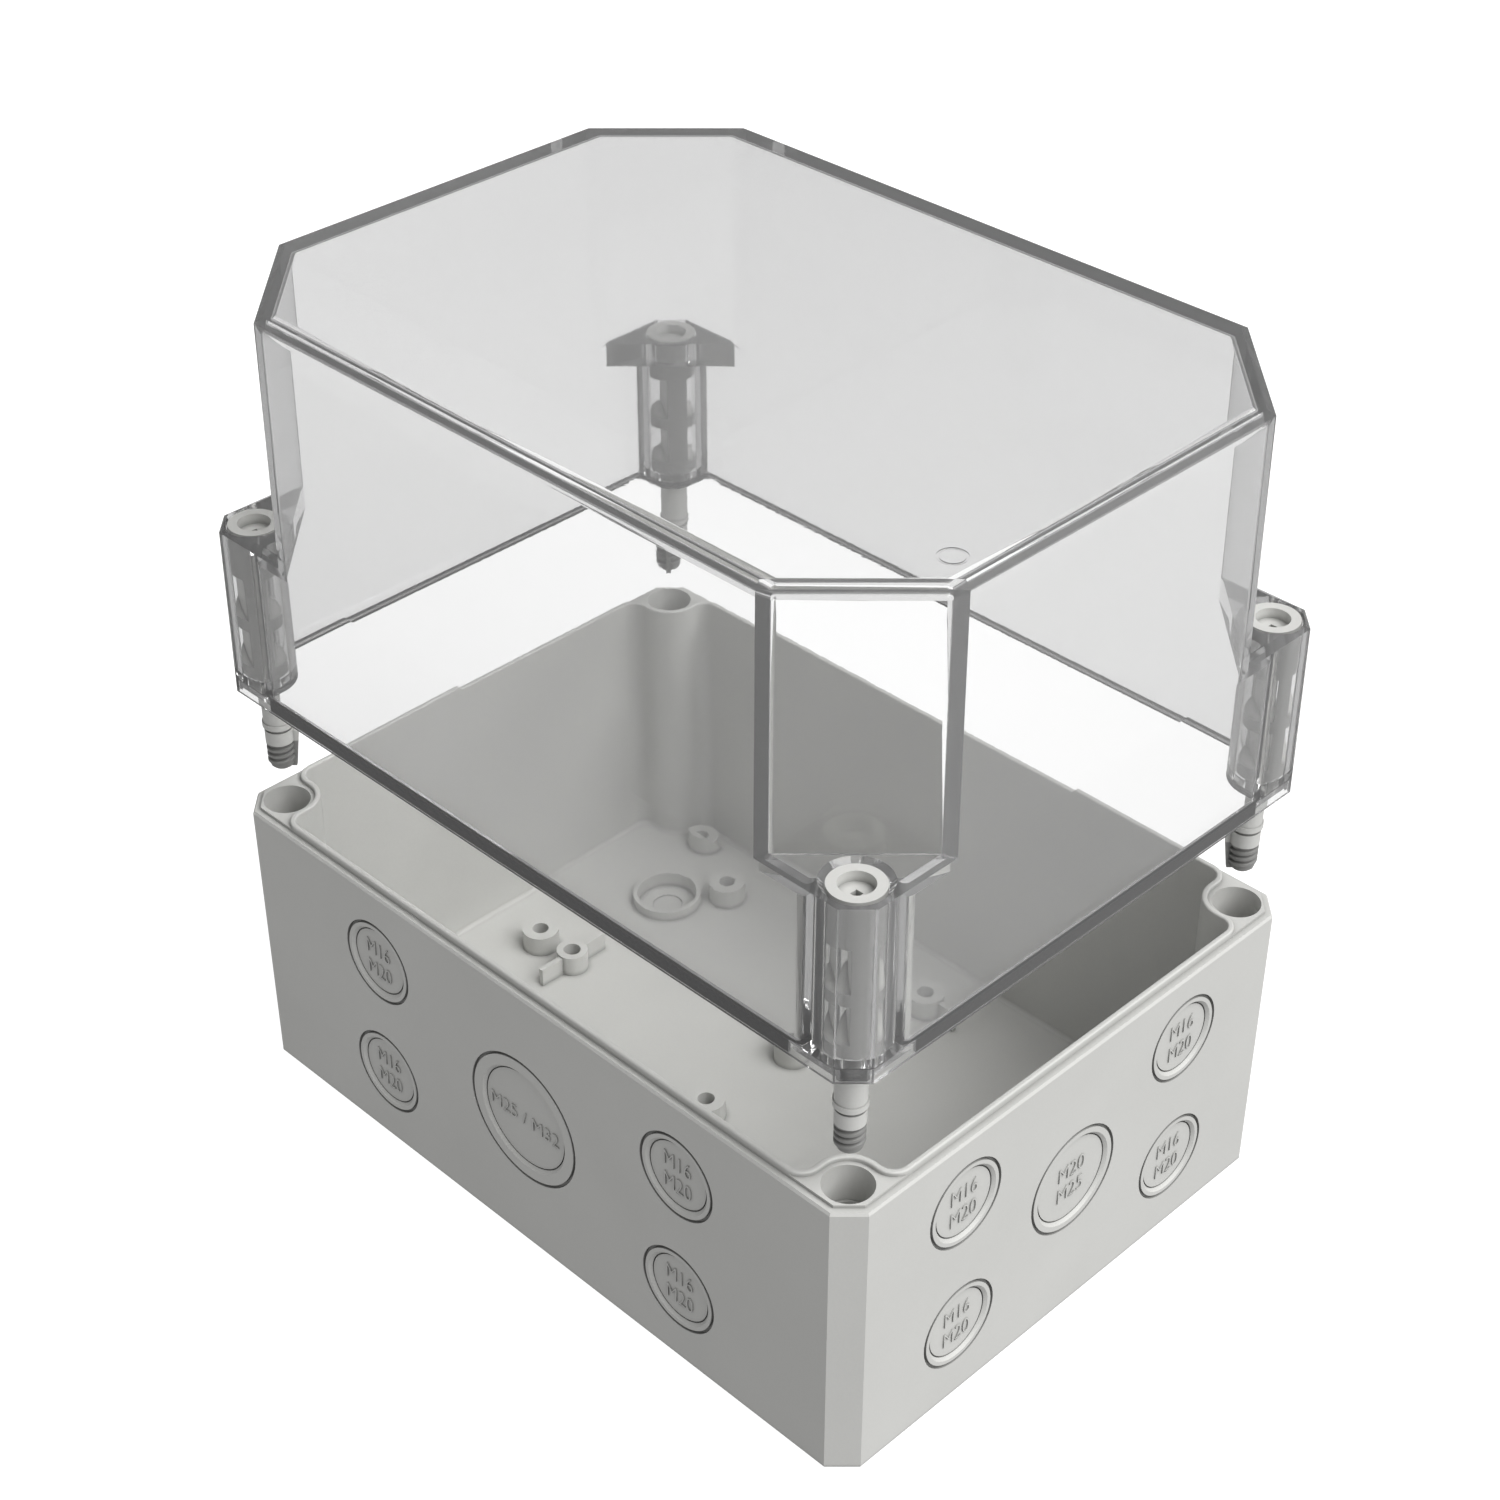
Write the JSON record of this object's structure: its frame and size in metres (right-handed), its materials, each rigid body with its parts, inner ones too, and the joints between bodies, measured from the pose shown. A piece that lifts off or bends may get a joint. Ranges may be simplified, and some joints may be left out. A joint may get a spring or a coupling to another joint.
{
  "type": "wall-mounting enclosure",
  "caption": "Wall-mounting polycarbonate box: grey base with metric knockouts, and a deep clear eight-sided lid held by captive corner screws, shown lifted off.",
  "frame": {"origin": "middle of the back face, at the bottom centre of the whole box", "axes": "+Z from the back face through the lid, +X along the long side, +Y along the short side; the front wall is at -Y"},
  "size_m": [0.18, 0.13, 0.1904],
  "materials": {
    "base_grey": "moulded polycarbonate, fine grain",
    "lid_clear": "polished clear polycarbonate",
    "seal_rubber": "foamed seal, dark grey",
    "screw_grey": "moulded plastic, satin"
  },
  "bodies": {
    "base": {"base_shell": "base_grey", "front_knockout_1_ring": "base_grey", "front_knockout_1_disc": "base_grey", "front_knockout_2_ring": "base_grey", "front_knockout_2_disc": "base_grey", "front_knockout_3_ring": "base_grey", "front_knockout_3_disc": "base_grey", "front_knockout_4_ring": "base_grey", "front_knockout_4_disc": "base_grey", "front_knockout_5_ring": "base_grey", "front_knockout_5_disc": "base_grey", "back_knockout_1_ring": "base_grey", "back_knockout_1_disc": "base_grey", "back_knockout_2_ring": "base_grey", "back_knockout_2_disc": "base_grey", "back_knockout_3_ring": "base_grey", "back_knockout_3_disc": "base_grey", "back_knockout_4_ring": "base_grey", "back_knockout_4_disc": "base_grey", "back_knockout_5_ring": "base_grey", "back_knockout_5_disc": "base_grey", "left_knockout_1_ring": "base_grey", "left_knockout_1_disc": "base_grey", "left_knockout_2_ring": "base_grey", "left_knockout_2_disc": "base_grey", "left_knockout_3_ring": "base_grey", "left_knockout_3_disc": "base_grey", "left_knockout_4_ring": "base_grey", "left_knockout_4_disc": "base_grey", "left_knockout_5_ring": "base_grey", "left_knockout_5_disc": "base_grey", "right_knockout_1_ring": "base_grey", "right_knockout_1_disc": "base_grey", "right_knockout_2_ring": "base_grey", "right_knockout_2_disc": "base_grey", "right_knockout_3_ring": "base_grey", "right_knockout_3_disc": "base_grey", "right_knockout_4_ring": "base_grey", "right_knockout_4_disc": "base_grey", "right_knockout_5_ring": "base_grey", "right_knockout_5_disc": "base_grey"},
    "lid": {"clear_lid": "lid_clear", "lid_seal": "seal_rubber"},
    "screw_front_left": {"lid_screw_front_left": "screw_grey"},
    "screw_front_right": {"lid_screw_front_right": "screw_grey"},
    "screw_back_left": {"lid_screw_back_left": "screw_grey"},
    "screw_back_right": {"lid_screw_back_right": "screw_grey"}
  },
  "joints": [
    {"name": "lid_lift", "type": "slide", "parent": "base", "child": "lid", "axis": [0, 0, 1], "range_m": [-0.031, 0]},
    {"name": "screw_travel_front_left", "type": "slide", "parent": "lid", "child": "screw_front_left", "axis": [0, 0, 1], "range_m": [0, 0.0125]},
    {"name": "screw_travel_front_right", "type": "slide", "parent": "lid", "child": "screw_front_right", "axis": [0, 0, 1], "range_m": [0, 0.0125]},
    {"name": "screw_travel_back_left", "type": "slide", "parent": "lid", "child": "screw_back_left", "axis": [0, 0, 1], "range_m": [0, 0.0125]},
    {"name": "screw_travel_back_right", "type": "slide", "parent": "lid", "child": "screw_back_right", "axis": [0, 0, 1], "range_m": [0, 0.0125]}
  ]
}
